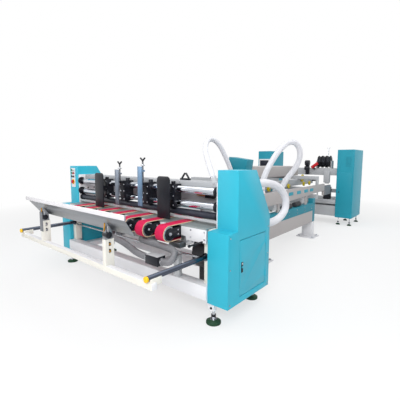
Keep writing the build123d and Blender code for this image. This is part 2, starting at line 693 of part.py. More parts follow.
# ===== hoses =====
hose(feed_hose_start + [(870, 335, 1660), (795, 490, 1800), (795, 680, 1775), (815, 850, 1560),
                        (835, 975, 1330)] + feed_hose_end[::-1], feed_hose_d, "feed_suction_hose")
hose(fold_hose_start + [(900, 1805, 1450), (985, 1980, 1710), (1060, 2190, 1850), (1125, 2370, 1790),
                        (1140, 2430, 1600), (1040, 2430, 1390)] + fold_hose_end[::-1],
     fold_hose_d, "fold_suction_hose")
loop_yz = [(port_end + 0.3, loop_hose_z[0]), (640, loop_hose_z[0]), (880, 1287), (1170, 1232), (1400, 1085),
           (1424, 925), (1285, 832), (1080, 798), (850, loop_hose_z[1]), (622.3, loop_hose_z[1])]
hose([(loop_hose_x, y, z) for y, z in loop_yz], loop_hose_d, "loop_suction_hose")
hose(hose_a_start + [(20, -330, 660), (230, -378, 672), (440, -402, 648), (620, *hose_end_yz),
                     (manifold_x[0] - 0.3, *hose_end_yz)], duct_hose_d, "left_duct_hose")
hose(hose_b_start + [(560, -288, 700), (720, -308, 706), (861, -318, 705), (1055, -325, 700),
                     (1086, -365, 645), (1055, *hose_end_yz), (manifold_x[1] + 0.3, *hose_end_yz)],
     duct_hose_d, "right_duct_hose")
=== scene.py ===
"""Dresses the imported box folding, stitching and gluing machine: finishes, hoses, bolts, panels, rollers."""
import json
import math
import bmesh
import bpy
from bpy.props import FloatProperty, FloatVectorProperty, IntProperty, PointerProperty
from mathutils import Matrix, Vector


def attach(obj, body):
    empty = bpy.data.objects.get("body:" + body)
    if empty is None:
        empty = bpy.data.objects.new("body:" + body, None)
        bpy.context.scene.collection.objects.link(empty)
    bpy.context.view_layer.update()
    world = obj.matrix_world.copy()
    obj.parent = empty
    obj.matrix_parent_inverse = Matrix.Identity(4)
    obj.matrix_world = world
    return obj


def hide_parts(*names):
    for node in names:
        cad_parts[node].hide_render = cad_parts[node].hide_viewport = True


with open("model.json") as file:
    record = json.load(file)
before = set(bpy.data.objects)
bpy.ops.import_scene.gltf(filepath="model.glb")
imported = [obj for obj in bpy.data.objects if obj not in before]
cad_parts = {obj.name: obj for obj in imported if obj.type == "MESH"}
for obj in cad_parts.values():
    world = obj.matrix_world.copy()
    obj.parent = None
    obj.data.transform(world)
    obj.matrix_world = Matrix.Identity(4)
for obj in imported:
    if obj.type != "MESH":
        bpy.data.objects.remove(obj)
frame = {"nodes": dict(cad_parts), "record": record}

bl_info = {
    "name": "Box Stitching Line",
    "version": (1, 0, 0),
    "blender": (4, 5, 0),
    "location": "View3D > Sidebar > Box Line",
    "description": "Finishes and small parts for a box folding, stitching and gluing machine",
    "category": "Object",
}

FLOW_MIDDLE = 2671.0      # mm from the feeder's front plane to the machine's centre
BODY_OF = {n: b for b, nodes in frame["record"]["behaviour"]["bodies"].items() for n in nodes}
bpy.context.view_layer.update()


def srgb(r, g, b):
    """A colour picked as 0-255 screen values, made linear."""
    out = []
    for c in (r, g, b):
        c = c / 255
        out.append(c / 12.92 if c <= 0.04045 else ((c + 0.055) / 1.055) ** 2.4)
    return tuple(out)


def at(x, y, z):
    """A point given in mm from the feeder's front plane, in metres in the machine's frame."""
    return Vector((x / 1000, (y - FLOW_MIDDLE) / 1000, z / 1000))


class BoxLineSettings(bpy.types.PropertyGroup):
    """Sizes and colours of the dressed machine."""
    teal: FloatVectorProperty(name="Cabinet paint", description="Colour of the sheet metal cabinets",
                              subtype="COLOR", size=3, min=0, max=1, default=srgb(44, 172, 196))
    white: FloatVectorProperty(name="Frame paint", description="Colour of the painted frame",
                               subtype="COLOR", size=3, min=0, max=1, default=srgb(222, 222, 225))
    warm_grey: FloatVectorProperty(name="Beam paint", description="Colour of the folder beams",
                                   subtype="COLOR", size=3, min=0, max=1, default=srgb(176, 171, 170))
    belt: FloatVectorProperty(name="Belt rubber", description="Colour of the feed belts",
                              subtype="COLOR", size=3, min=0, max=1, default=srgb(200, 26, 76))
    rib_pitch: FloatProperty(name="Hose rib pitch", description="Distance between two hose ribs",
                             unit="LENGTH", default=0.014, min=0.006, max=0.05)
    edge_soft: FloatProperty(name="Cabinet edge", description="Radius of the folded cabinet edges",
                             unit="LENGTH", default=0.007, min=0.001, max=0.02)
    hose_sides: IntProperty(name="Hose sides", description="Faces round a hose", default=22, min=8, max=48)


# ---- materials -------------------------------------------------------------------


def coat(name, colour, rough, metal=0.0, spread=0.05, patch=3.0, grain=260.0, bump=0.04,
         stretch=(1.0, 1.0, 1.0), clear=0.0, wear=0.06, shine=0.35):
    """A finish whose colour, gloss and surface vary a little over the piece."""
    mat = bpy.data.materials.new(name)
    mat.use_nodes = True
    tree = mat.node_tree
    node, link = tree.nodes.new, tree.links.new
    shader = tree.nodes["Principled BSDF"]
    shader.inputs["Metallic"].default_value = metal
    shader.inputs["Coat Weight"].default_value = clear
    shader.inputs["Specular IOR Level"].default_value = shine
    coords = node("ShaderNodeTexCoord")
    place = node("ShaderNodeMapping")
    place.inputs["Scale"].default_value = stretch
    link(coords.outputs["Object"], place.inputs["Vector"])
    blotch = node("ShaderNodeTexNoise")
    blotch.inputs["Scale"].default_value = patch
    blotch.inputs["Detail"].default_value = 5
    link(place.outputs["Vector"], blotch.inputs["Vector"])
    tint = node("ShaderNodeValToRGB")
    tint.color_ramp.elements[0].position = 0.3
    tint.color_ramp.elements[1].position = 0.7
    tint.color_ramp.elements[0].color = (*[c * (1 - spread) for c in colour], 1)
    tint.color_ramp.elements[1].color = (*[min(c * (1 + spread) + 0.002, 1) for c in colour], 1)
    link(blotch.outputs["Fac"], tint.inputs["Fac"])
    link(tint.outputs["Color"], shader.inputs["Base Color"])
    gloss = node("ShaderNodeMapRange")
    gloss.inputs["To Min"].default_value = max(rough - wear, 0.02)
    gloss.inputs["To Max"].default_value = min(rough + wear, 1)
    link(blotch.outputs["Fac"], gloss.inputs["Value"])
    link(gloss.outputs["Result"], shader.inputs["Roughness"])
    fine = node("ShaderNodeTexNoise")
    fine.inputs["Scale"].default_value = grain
    fine.inputs["Detail"].default_value = 3
    link(place.outputs["Vector"], fine.inputs["Vector"])
    press = node("ShaderNodeBump")
    press.inputs["Strength"].default_value = bump
    press.inputs["Distance"].default_value = 0.002
    link(fine.outputs["Fac"], press.inputs["Height"])
    link(press.outputs["Normal"], shader.inputs["Normal"])
    return mat


def banded(name, colour, dark, axis, scale, rough, metal=0.0, sharp=0.5, bump=0.5):
    """A finish with fine bands across one axis, such as a thread, wire turns or ribs; the dark bands are painted
    shade in the grooves between them.
    """
    mat = coat(name, colour, rough, metal=metal)
    tree = mat.node_tree
    node, link = tree.nodes.new, tree.links.new
    shader = tree.nodes["Principled BSDF"]
    wave = node("ShaderNodeTexWave")
    wave.bands_direction = axis
    wave.inputs["Scale"].default_value = scale
    coords = node("ShaderNodeTexCoord")
    link(coords.outputs["Object"], wave.inputs["Vector"])
    # the dark colour is painted shade in the grooves
    ramp = node("ShaderNodeValToRGB")
    ramp.color_ramp.elements[0].position = sharp - 0.2
    ramp.color_ramp.elements[1].position = sharp + 0.2
    ramp.color_ramp.elements[0].color = (*dark, 1)
    ramp.color_ramp.elements[1].color = (*colour, 1)
    link(wave.outputs["Fac"], ramp.inputs["Fac"])
    link(ramp.outputs["Color"], shader.inputs["Base Color"])
    press = node("ShaderNodeBump")
    press.inputs["Strength"].default_value = bump
    press.inputs["Distance"].default_value = 0.003
    link(wave.outputs["Fac"], press.inputs["Height"])
    link(press.outputs["Normal"], shader.inputs["Normal"])
    return mat


FINISH = {}


def mix_finishes(s):
    """Every finish of the machine, by a maker's plain name; a few are darkened or lightened copies that carry
    painted shade or painted highlight.
    """
    f = FINISH
    f["teal"] = coat("teal_enamel", s.teal, 0.40, spread=0.05, patch=1.6, grain=380, bump=0.05, shine=0.3)
    # painted shade: this copy of the cabinet teal, darkened to 0.52, stands in for the shade on the console, the
    # folder side panels and the stitcher vents
    f["teal_painted_shade_deep"] = coat("teal_enamel_painted_shade_deep", [c * 0.52 for c in s.teal], 0.42, patch=1.8, grain=380,
                          bump=0.05, shine=0.25)
    # painted shade: this copy of the cabinet teal, darkened to 0.72, stands in for the weaker light on the stitcher
    # cabinets, doors and folder tiles further back
    f["teal_painted_shade_mid"] = coat("teal_enamel_painted_shade_mid", [c * 0.72 for c in s.teal], 0.42, patch=1.8, grain=380,
                         bump=0.05, shine=0.22)
    f["white"] = coat("white_enamel", s.white, 0.42, spread=0.03, patch=2.2, grain=340, bump=0.05)
    f["cream"] = coat("cream_enamel", srgb(226, 223, 214), 0.45, spread=0.03, patch=2.5, grain=320, bump=0.05)
    f["warm_grey"] = coat("warm_grey_enamel", s.warm_grey, 0.50, spread=0.06, patch=1.4, grain=300, bump=0.06,
                          shine=0.25)
    f["grey"] = coat("light_grey_enamel", srgb(178, 180, 183), 0.48, spread=0.06, patch=2, grain=300, bump=0.06,
                     shine=0.28)
    f["mid_grey"] = coat("mid_grey_enamel", srgb(112, 114, 119), 0.48, spread=0.08, patch=3, grain=260,
                         bump=0.08, shine=0.28)
    f["table"] = coat("ground_table_steel", srgb(150, 158, 158), 0.36, metal=0.55, spread=0.08, patch=5,
                      grain=90, bump=0.05, stretch=(0.4, 3, 3))
    f["black"] = coat("black_enamel", srgb(21, 23, 31), 0.36, spread=0.18, patch=5, grain=260, bump=0.06,
                      shine=0.3)
    f["oxide"] = coat("blackened_steel", srgb(26, 28, 36), 0.42, metal=0.4, spread=0.2, patch=14, grain=300,
                      bump=0.08, shine=0.3)
    f["steel"] = coat("bright_steel", srgb(190, 192, 197), 0.27, metal=1.0, spread=0.06, patch=9, grain=500,
                      bump=0.05)
    f["chrome"] = coat("ground_chrome", srgb(206, 210, 218), 0.10, metal=1.0, spread=0.04, patch=12,
                       grain=60, bump=0.02, stretch=(0.3, 6, 6), wear=0.04)
    f["rail"] = coat("dark_chrome", srgb(78, 84, 96), 0.14, metal=1.0, spread=0.08, patch=10, grain=80,
                     bump=0.02, stretch=(6, 0.3, 6), wear=0.05)
    f["stainless"] = coat("brushed_stainless", srgb(142, 145, 150), 0.32, metal=0.95, spread=0.12, patch=7,
                          grain=130, bump=0.12, stretch=(0.05, 6, 6), wear=0.08)
    f["gate_steel"] = coat("dull_gate_steel", srgb(120, 128, 140), 0.36, metal=0.85, spread=0.09, patch=9,
                           grain=160, bump=0.08, stretch=(8, 8, 0.2))
    f["gate_blue"] = coat("blue_gate_steel", srgb(112, 140, 168), 0.34, metal=0.6, spread=0.10, patch=9,
                          grain=160, bump=0.08, stretch=(8, 8, 0.2))
    f["roller"] = coat("roller_rubber", srgb(44, 47, 58), 0.42, spread=0.15, patch=8, grain=240, bump=0.12)
    f["rubber"] = coat("black_rubber", srgb(26, 27, 30), 0.70, spread=0.15, patch=12, grain=420, bump=0.22)
    f["belt"] = coat("crimson_belt", s.belt, 0.60, spread=0.10, patch=14, grain=700, bump=0.30, shine=0.2)
    f["belt_edge"] = coat("cream_belt_edge", srgb(216, 196, 164), 0.65, spread=0.06, patch=20, grain=500,
                          bump=0.15, shine=0.2)
    f["belt_grey"] = coat("transport_belt", srgb(58, 60, 62), 0.62, spread=0.12, patch=16, grain=600, bump=0.28)
    f["yellow"] = coat("yellow_plastic", srgb(240, 190, 16), 0.40, spread=0.06, patch=12, grain=300, bump=0.05)
    f["dull_yellow"] = coat("yellow_urethane", srgb(206, 184, 26), 0.42, spread=0.10, patch=12, grain=300,
                            bump=0.05)
    f["red"] = coat("red_enamel", srgb(196, 22, 34), 0.32, spread=0.06, patch=12, grain=300, bump=0.04)
    f["green"] = coat("green_plastic", srgb(24, 112, 66), 0.35, spread=0.05, patch=12, grain=300, bump=0.03)
    f["foot_green"] = coat("foot_rubber", srgb(34, 66, 46), 0.60, spread=0.16, patch=16, grain=420, bump=0.2,
                           shine=0.25)
    f["brass"] = coat("brass", srgb(206, 150, 62), 0.28, metal=1.0, spread=0.10, patch=14, grain=300, bump=0.05)
    f["hose"] = coat("white_hose", srgb(222, 222, 227), 0.46, spread=0.03, patch=6, grain=200, bump=0.06)
    f["duct"] = coat("smoke_hose", srgb(112, 112, 116), 0.30, spread=0.16, patch=9, grain=200, bump=0.06,
                     shine=0.5)
    f["screen"] = coat("screen_glass", srgb(26, 30, 44), 0.30, spread=0.1, patch=4, grain=100, bump=0.0,
                       wear=0.02, shine=0.2)
    # the dark second colours below are painted shade in the grooves between thread crests, wire turns and fins
    f["thread"] = banded("threaded_rod", srgb(170, 172, 176), srgb(50, 52, 58), "Z", 160, 0.3, metal=1.0)
    f["wire"] = banded("wound_wire", srgb(52, 55, 62), srgb(14, 15, 18), "X", 110, 0.36, metal=0.8)
    f["fins"] = banded("cast_fins", srgb(54, 55, 60), srgb(12, 12, 15), "Y", 42, 0.5, metal=0.3)
    f["fins_x"] = banded("cast_fins_across", srgb(62, 62, 66), srgb(14, 14, 17), "X", 42, 0.5, metal=0.3)
    # painted shade: a near-black finish that stands in for the shade inside slots and recesses
    f["shadow"] = coat("slot_painted_shade", srgb(26, 28, 32), 0.8, spread=0.1, patch=20, grain=300, bump=0.1)
    # painted highlight: the tray's lip is near white for the light it catches, over its own polished steel
    f["lip"] = coat("lip_painted_highlight", srgb(236, 234, 238), 0.26, metal=0.5, spread=0.03, patch=5, grain=160,
                    bump=0.03, stretch=(0.1, 5, 5))
    return f


# ---- modelling helpers -----------------------------------------------------------


def clear_selection():
    """Nothing selected, nothing active in edit mode."""
    if bpy.context.object and bpy.context.object.mode != "OBJECT":
        bpy.ops.object.mode_set(mode="OBJECT")
    bpy.ops.object.select_all(action="DESELECT")


def make_active(obj):
    """Only this object selected and active."""
    clear_selection()
    obj.select_set(True)
    bpy.context.view_layer.objects.active = obj


def settle(obj, angle=32):
    """Place applied, shading smooth except over sharp edges."""
    make_active(obj)
    bpy.ops.object.transform_apply(location=True, rotation=True, scale=True)
    bpy.ops.object.shade_smooth_by_angle(angle=math.radians(angle))
    return obj


def soften(obj, width, segments=2, angle=35):
    """Rounds the sharp edges with a bevel and applies it."""
    make_active(obj)
    mod = obj.modifiers.new("edges", "BEVEL")
    mod.width = width
    mod.segments = segments
    mod.limit_method = "ANGLE"
    mod.angle_limit = math.radians(angle)
    mod.use_clamp_overlap = True
    bpy.ops.object.modifier_apply(modifier=mod.name)
    return obj


def finish_piece(obj, finish, body="machine", replaces=()):
    """Gives a piece its finish and its body, and hides the frame pieces it stands for."""
    if finish:
        obj.data.materials.clear()
        obj.data.materials.append(FINISH[finish])
    if replaces:
        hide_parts(*replaces)
    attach(obj, body)
    return obj


def slab(name, lo, hi, edge=0.001, segments=2):
    """A block between two corners in mm with softened edges."""
    a, b = at(*lo), at(*hi)
    clear_selection()
    bpy.ops.mesh.primitive_cube_add(size=1, location=(a + b) / 2)
    obj = bpy.context.object
    obj.name = name
    obj.scale = [max(abs(b[i] - a[i]), 1e-5) for i in range(3)]
    bpy.ops.object.transform_apply(location=True, rotation=True, scale=True)
    soften(obj, edge, segments)
    return settle(obj)


def turned(name, start, end, radius, sides=32, edge=0.001, dish=0.0):
    """A turned part between two points in mm; dish sinks the middle of its outer face."""
    a, b = at(*start), at(*end)
    line = b - a
    clear_selection()
    bpy.ops.mesh.primitive_cylinder_add(vertices=sides, radius=radius, depth=line.length, location=(a + b) / 2,
                                        rotation=line.to_track_quat("Z", "Y").to_euler())
    obj = bpy.context.object
    obj.name = name
    bpy.ops.object.transform_apply(location=True, rotation=True, scale=True)
    if dish:
        bpy.ops.object.mode_set(mode="EDIT")
        bpy.ops.mesh.select_all(action="DESELECT")
        mesh = bmesh.from_edit_mesh(obj.data)
        way = line.normalized()
        for face in mesh.faces:
            face.select = face.normal.dot(way) > 0.99
        bmesh.update_edit_mesh(obj.data)
        bpy.ops.mesh.inset(thickness=radius * 0.28)
        bpy.ops.transform.translate(value=-way * dish)
        bpy.ops.object.mode_set(mode="OBJECT")
    soften(obj, edge)
    return settle(obj)


def copies(obj, name, places):
    """One mesh made of copies of a piece, each moved by a vector in metres."""
    made = []
    for offset in places:
        twin = obj.copy()
        twin.data = obj.data.copy()
        twin.data.transform(Matrix.Translation(offset))
        bpy.context.collection.objects.link(twin)
        made.append(twin)
    bpy.data.objects.remove(obj)
    clear_selection()
    for twin in made:
        twin.select_set(True)
    bpy.context.view_layer.objects.active = made[0]
    if len(made) > 1:
        bpy.ops.object.join()
    made[0].name = name
    return made[0]


def joined(name, parts):
    """Several pieces joined into one, each keeping its finish."""
    clear_selection()
    for part in parts:
        part.select_set(True)
    bpy.context.view_layer.objects.active = parts[0]
    if len(parts) > 1:
        bpy.ops.object.join()
    parts[0].name = name
    return parts[0]


def painted(obj, finish):
    """Sets the finish of a part before it is joined to others."""
    obj.data.materials.clear()
    obj.data.materials.append(FINISH[finish])
    return obj


def bolts(name, places, axis, size=0.011, finish="steel", body="machine"):
    """Hexagon bolt heads with washers at points in mm, standing out along an axis."""
    way = Vector(axis).normalized()
    turn = way.to_track_quat("Z", "Y").to_euler()
    clear_selection()
    bpy.ops.mesh.primitive_cylinder_add(vertices=20, radius=size * 1.35, depth=size * 0.35, rotation=turn,
                                        location=way * size * 0.175)
    washer = bpy.context.object
    bpy.ops.mesh.primitive_cylinder_add(vertices=6, radius=size, depth=size * 0.8, rotation=turn,
                                        location=way * size * 0.75)
    head = bpy.context.object
    bpy.ops.object.transform_apply(location=True, rotation=True, scale=True)
    soften(head, size * 0.12, 1)
    make_active(washer)
    bpy.ops.object.transform_apply(location=True, rotation=True, scale=True)
    one = joined(name, [washer, head])
    group = settle(copies(one, name, [at(*p) for p in places]))
    return finish_piece(group, finish, body)


def refined(node, finish, edge=0.0015, segments=2, shades=None):
    """A merged, softened copy of a frame piece that stands in its place.

    shades is a list of (test, finish) pairs: faces whose centre and normal pass the test get that finish.
    """
    source = frame["nodes"][node]
    obj = bpy.data.objects.new(node + "_dressed", source.data.copy())
    bpy.context.collection.objects.link(obj)
    make_active(obj)
    obj.data.materials.clear()
    obj.data.materials.append(FINISH[finish])
    if obj.data.has_custom_normals:
        bpy.ops.mesh.customdata_custom_splitnormals_clear()
    bpy.ops.object.mode_set(mode="EDIT")
    bpy.ops.mesh.select_all(action="SELECT")
    bpy.ops.mesh.remove_doubles(threshold=0.00002)
    bpy.ops.mesh.dissolve_limited(angle_limit=math.radians(0.6))
    bpy.ops.object.mode_set(mode="OBJECT")
    soften(obj, edge, segments, angle=38)
    settle(obj)
    for test, other in shades or ():
        obj.data.materials.append(FINISH[other])
        slot = len(obj.data.materials) - 1
        for face in obj.data.polygons:
            if test(face.center, face.normal):
                face.material_index = slot
    for face in obj.data.polygons:
        face.material_index = min(face.material_index, len(obj.data.materials) - 1)
    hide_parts(node)
    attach(obj, BODY_OF[node])
    return obj


# ---- hoses -----------------------------------------------------------------------

HOSES = {
    "feed_suction_hose": (0.058, 0.0012, "hose", [
        (1119.8, 181.7, 1354.3), (1054.8, 202.5, 1464.9), (870, 335, 1660), (795, 490, 1800), (795, 680, 1775),
        (815, 850, 1560), (835, 975, 1330), (835, 985, 1205.3), (835, 985, 1085.3)]),
    "fold_suction_hose": (0.088, 0.0016, "hose", [
        (830, 1760, 1090.3), (830, 1760, 1230.3), (900, 1805, 1450), (985, 1980, 1710), (1060, 2190, 1850),
        (1125, 2370, 1790), (1140, 2430, 1600), (1040, 2430, 1390), (899.7, 2420, 1229.7), (839.8, 2420, 1092.1)]),
    "loop_suction_hose": (0.092, 0.0016, "hose", [
        (1366, 452.9, 1290), (1366, 640, 1290), (1366, 880, 1287), (1366, 1170, 1232), (1366, 1400, 1085),
        (1366, 1424, 925), (1366, 1285, 832), (1366, 1080, 798), (1366, 850, 805), (1366, 622.3, 805)]),
    "left_duct_hose": (0.070, 0.0040, "duct", [
        (-170, -145.3, 655), (-170, -235.3, 655), (20, -330, 660), (230, -378, 672), (440, -402, 648),
        (620, -408, 590), (783.7, -408, 590)]),
    "right_duct_hose": (0.070, 0.0040, "duct", [
        (437, -145.3, 690), (437, -235.3, 690), (560, -288, 700), (720, -308, 706), (861, -318, 705),
        (1055, -325, 700), (1086, -365, 645), (1055, -408, 590), (960.3, -408, 590)]),
}


def route_points(points):
    """Points along the smooth line that a route's control points pull."""
    curve = bpy.data.curves.new("route", "CURVE")
    curve.dimensions = "3D"
    curve.resolution_u = 24
    spline = curve.splines.new("NURBS")
    spline.points.add(len(points) - 1)
    for p, co in zip(spline.points, points):
        p.co = (*at(*co), 1)
    spline.order_u = 3
    spline.use_endpoint_u = True
    holder = bpy.data.objects.new("route", curve)
    bpy.context.collection.objects.link(holder)
    mesh = bpy.data.meshes.new_from_object(holder)
    line = [v.co.copy() for v in mesh.vertices]
    bpy.data.objects.remove(holder)
    bpy.data.meshes.remove(mesh)
    return line


def evenly(line, step):
    """The same line with its points one step apart."""
    total = sum((b - a).length for a, b in zip(line, line[1:]))
    count = max(int(round(total / step)), 8)
    out, walked, i = [line[0].copy()], 0.0, 0
    for k in range(1, count):
        goal = total * k / count
        while walked + (line[i + 1] - line[i]).length < goal:
            walked += (line[i + 1] - line[i]).length
            i += 1
        part = (goal - walked) / (line[i + 1] - line[i]).length
        out.append(line[i].lerp(line[i + 1], part))
    out.append(line[-1].copy())
    return out, total


def ribbed_tube(name, line, radius, depth, pitch, sides):
    """A hose wall whose ribs follow its line."""
    pts, total = evenly(line, pitch / 4)
    count = len(pts)
    ribs = round(total / pitch)
    verts, faces = [], []
    tangent = (pts[1] - pts[0]).normalized()
    normal = tangent.orthogonal().normalized()
    for i, p in enumerate(pts):
        ahead = (pts[min(i + 1, count - 1)] - pts[max(i - 1, 0)]).normalized()
        normal = (tangent.rotation_difference(ahead) @ normal).normalized()
        tangent = ahead
        side = tangent.cross(normal)
        phase = 0.5 - 0.5 * math.cos(2 * math.pi * ribs * i / (count - 1))
        r = radius - depth + depth * phase
        if i in (0, count - 1):
            r = radius - depth
        for k in range(sides):
            a = 2 * math.pi * k / sides
            verts.append(p + (normal * math.cos(a) + side * math.sin(a)) * r)
    for i in range(count - 1):
        for k in range(sides):
            n = (k + 1) % sides
            faces.append((i * sides + k, i * sides + n, (i + 1) * sides + n, (i + 1) * sides + k))
    faces.append(tuple(range(sides - 1, -1, -1)))
    faces.append(tuple((count - 1) * sides + k for k in range(sides)))
    mesh = bpy.data.meshes.new(name)
    mesh.from_pydata(verts, [], faces)
    obj = bpy.data.objects.new(name, mesh)
    bpy.context.collection.objects.link(obj)
    make_active(obj)
    bpy.ops.object.shade_smooth()
    return obj, pts, total


class OBJECT_OT_box_line_hoses(bpy.types.Operator):
    """The three white suction hoses and the two smoke grey duct hoses."""
    bl_idname = "object.box_line_hoses"
    bl_label = "Hoses"

    def execute(self, context):
        s = context.scene.box_line
        for name, (dia, depth, finish, points) in HOSES.items():
            line = route_points(points)
            tube, pts, total = ribbed_tube(name + "_ribbed", line, dia / 2, depth, s.rib_pitch, s.hose_sides)
            print(name, "length", round(total, 3))
            finish_piece(tube, finish, replaces=[name])
            for end, a, b in (("start", pts[0], pts[6]), ("finish", pts[-1], pts[-7])):
                way = (b - a).normalized()
                clear_selection()
                bpy.ops.mesh.primitive_cylinder_add(vertices=36, radius=dia / 2 + 0.0022, depth=0.016,
                                                    location=a + way * 0.016, end_fill_type="NOTHING",
                                                    rotation=way.to_track_quat("Z", "Y").to_euler())
                band = bpy.context.object
                band.name = name + "_" + end + "_clamp"
                thick = band.modifiers.new("wall", "SOLIDIFY")
                thick.thickness = 0.0025
                thick.offset = 0
                bpy.ops.object.modifier_apply(modifier=thick.name)
                soften(band, 0.0006, 1)
                finish_piece(settle(band), "steel")
        return {"FINISHED"}


class OBJECT_OT_box_line_stage(bpy.types.Operator):
    """Floor, lamps, pale surroundings and the camera."""
    bl_idname = "object.box_line_stage"
    bl_label = "Stage"

    def seen_rays(self, tree):
        """One socket that is 1 for camera, glossy and transmission rays."""
        path = tree.nodes.new("ShaderNodeLightPath")
        last = path.outputs["Is Camera Ray"]
        for name in ("Is Glossy Ray", "Is Transmission Ray"):
            most = tree.nodes.new("ShaderNodeMath")
            most.operation = "MAXIMUM"
            tree.links.new(last, most.inputs[0])
            tree.links.new(path.outputs[name], most.inputs[1])
            last = most.outputs[0]
        return last

    def execute(self, context):
        clear_selection()
        bpy.ops.mesh.primitive_plane_add(size=60, location=(0, 0, 0))
        floor = context.object
        floor.name = "studio_floor"
        mat = bpy.data.materials.new("studio_floor")
        mat.use_nodes = True
        tree = mat.node_tree
        node, link = tree.nodes.new, tree.links.new
        out = tree.nodes["Material Output"]
        tree.nodes["Principled BSDF"].inputs["Base Color"].default_value = (0.84, 0.84, 0.84, 1)
        tree.nodes["Principled BSDF"].inputs["Roughness"].default_value = 0.9
        tree.nodes["Principled BSDF"].inputs["Specular IOR Level"].default_value = 0.1
        glow = node("ShaderNodeEmission")
        glow.inputs["Color"].default_value = (1, 1, 1, 1)
        share = node("ShaderNodeMath")
        share.operation = "MULTIPLY"
        link(self.seen_rays(tree), share.inputs[0])
        coords = node("ShaderNodeTexCoord")
        reach = node("ShaderNodeVectorMath")
        reach.operation = "LENGTH"
        link(coords.outputs["Object"], reach.inputs[0])
        fade = node("ShaderNodeMapRange")
        fade.inputs["From Min"].default_value = 4.5
        fade.inputs["From Max"].default_value = 8.5
        fade.inputs["To Min"].default_value = 0.62
        fade.inputs["To Max"].default_value = 1.0
        link(reach.outputs["Value"], fade.inputs["Value"])
        link(fade.outputs["Result"], share.inputs[1])
        mix = node("ShaderNodeMixShader")
        link(share.outputs[0], mix.inputs["Fac"])
        link(tree.nodes["Principled BSDF"].outputs[0], mix.inputs[1])
        link(glow.outputs[0], mix.inputs[2])
        link(mix.outputs[0], out.inputs["Surface"])
        floor.data.materials.append(mat)

        world = bpy.data.worlds.new("studio_world")
        context.scene.world = world
        world.use_nodes = True
        tree = world.node_tree
        node, link = tree.nodes.new, tree.links.new
        soft = tree.nodes["Background"]
        soft.inputs["Color"].default_value = (0.95, 0.97, 1.0, 1)
        soft.inputs["Strength"].default_value = 0.36
        white = node("ShaderNodeBackground")
        white.inputs["Color"].default_value = (1, 1, 1, 1)
        white.inputs["Strength"].default_value = 1.0
        mix = node("ShaderNodeMixShader")
        link(self.seen_rays(tree), mix.inputs["Fac"])
        link(soft.outputs[0], mix.inputs[1])
        link(white.outputs[0], mix.inputs[2])
        link(mix.outputs[0], tree.nodes["World Output"].inputs["Surface"])

        for name, place, size, power, aim in (
                ("key", (3.9, -7.4, 4.2), 3.2, 330, (0.6, -2.2, 0.7)),
                ("fill", (-4.5, -7.5, 4.0), 4.0, 110, (0, -2.5, 0.8)),
                ("top", (0.6, -1.0, 7.0), 8.0, 300, (0, 0, 0.5)),
                ("rear", (5.0, 5.0, 4.5), 4.0, 120, (0, 1.5, 0.8))):
            data = bpy.data.lights.new(name, "AREA")
            data.energy = power
            data.size = size
            lamp = bpy.data.objects.new(name, data)
            lamp.location = place
            lamp.rotation_euler = (Vector(aim) - Vector(place)).to_track_quat("-Z", "Y").to_euler()
            context.collection.objects.link(lamp)

        camera = bpy.data.objects.new("camera", bpy.data.cameras.new("camera"))
        context.collection.objects.link(camera)
        yaw, pitch, roll = math.radians(-40.088), math.radians(5.892), math.radians(0.207)
        ahead = Vector((math.sin(yaw) * math.cos(pitch), math.cos(yaw) * math.cos(pitch), -math.sin(pitch)))
        right = Vector((math.cos(yaw), -math.sin(yaw), 0))
        upward = right.cross(ahead)
        level_right = right * math.cos(roll) + upward * math.sin(roll)
        level_up = upward * math.cos(roll) - right * math.sin(roll)
        turn = Matrix((level_right, level_up, -ahead)).transposed()
        camera.matrix_world = Matrix.Translation(at(3009.2, -2289.8, 1539.0)) @ turn.to_4x4()
        camera.data.sensor_width = 36
        camera.data.lens = 27.105
        camera.data.shift_x = 0.0016
        camera.data.shift_y = -0.0209
        camera.data.clip_end = 100
        context.scene.camera = camera
        context.scene.view_settings.view_transform = "Standard"
        return {"FINISHED"}


